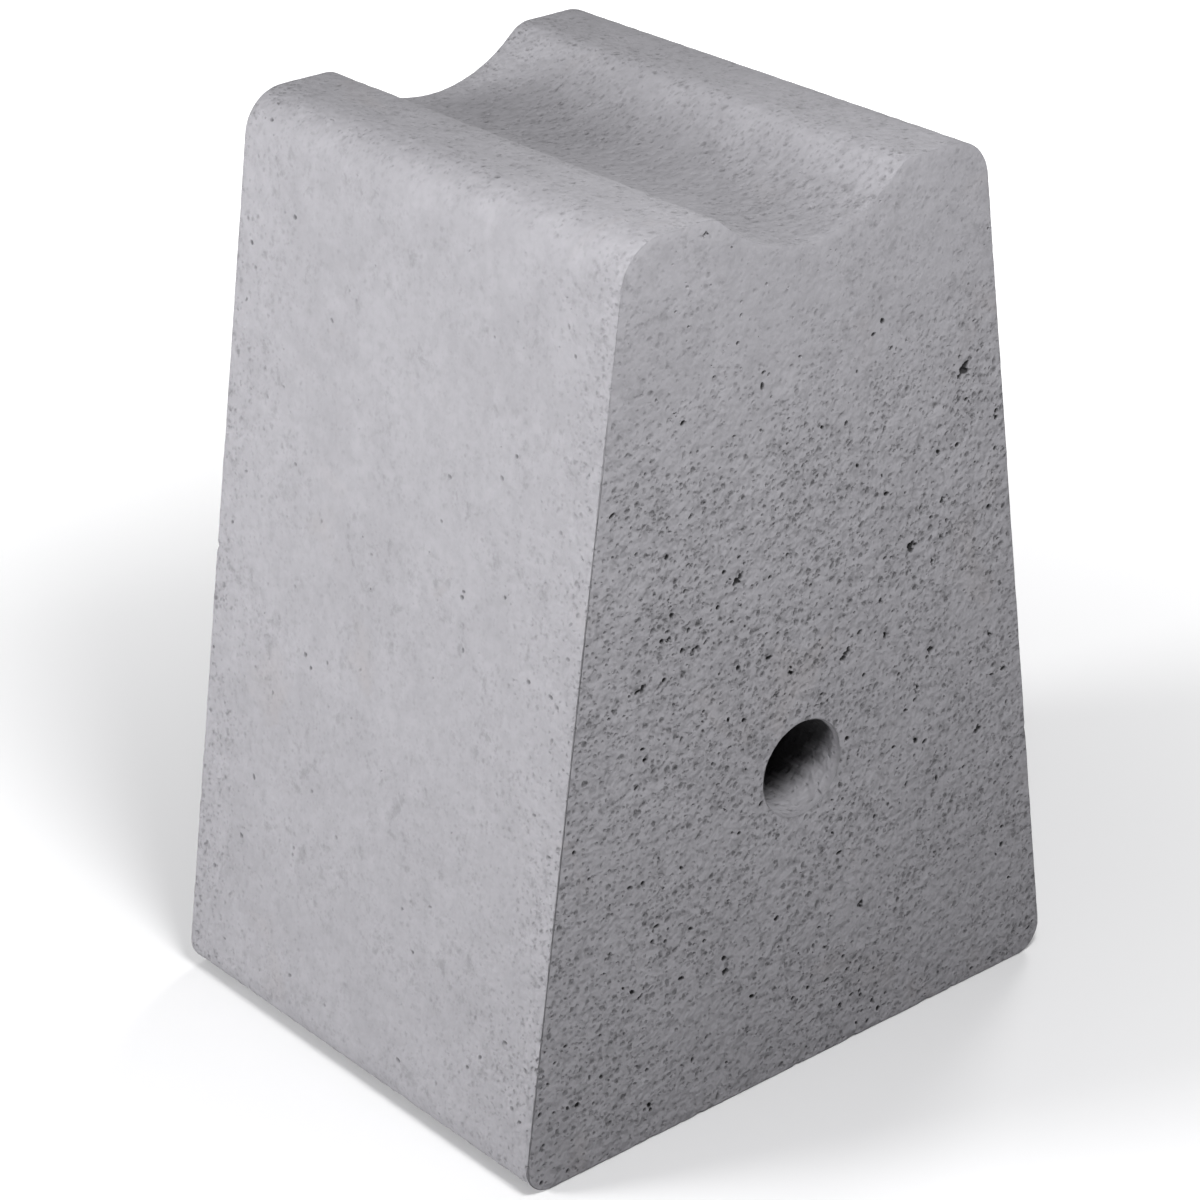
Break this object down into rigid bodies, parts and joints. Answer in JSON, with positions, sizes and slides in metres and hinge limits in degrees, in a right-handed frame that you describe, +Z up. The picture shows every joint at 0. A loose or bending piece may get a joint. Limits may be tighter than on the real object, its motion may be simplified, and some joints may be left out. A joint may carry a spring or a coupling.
{
  "type": "concrete saddle block",
  "caption": "Tapered precast concrete block with a round trough along its top for a rail or log and a hole through its foot.",
  "frame": {"origin": "middle of the underside", "axes": "+Z up, +Y along the trough and the hole from one upright end face to the other, +X across the block from one sloping side to the other"},
  "size_m": [0.375, 0.3, 0.5],
  "materials": {
    "concrete": "bare dry-cast grey concrete with fine pores",
    "reinforcing_steel": "hot-rolled steel with mill scale and a little rust",
    "tie_wire": "black annealed wire",
    "spacer_plastic": "moulded recycled plastic",
    "chair_mortar": "pressed fibre mortar"
  },
  "bodies": {
    "root": {"base_chairs": "chair_mortar", "concrete_block": "concrete", "corner_bar_front_left": "reinforcing_steel", "corner_bar_front_right": "reinforcing_steel", "corner_bar_rear_left": "reinforcing_steel", "corner_bar_rear_right": "reinforcing_steel", "lifting_hairpin_front": "reinforcing_steel", "lifting_hairpin_rear": "reinforcing_steel", "link_base": "reinforcing_steel", "link_head": "reinforcing_steel", "link_low": "reinforcing_steel", "link_mid": "reinforcing_steel", "link_upper": "reinforcing_steel", "saddle_bar_left": "reinforcing_steel", "saddle_bar_middle": "reinforcing_steel", "saddle_bar_right": "reinforcing_steel", "tie_wires_base": "tie_wire", "tie_wires_head": "tie_wire", "tie_wires_low": "tie_wire", "tie_wires_mid": "tie_wire", "tie_wires_upper": "tie_wire", "wheel_spacers": "spacer_plastic"}
  },
  "joints": []
}
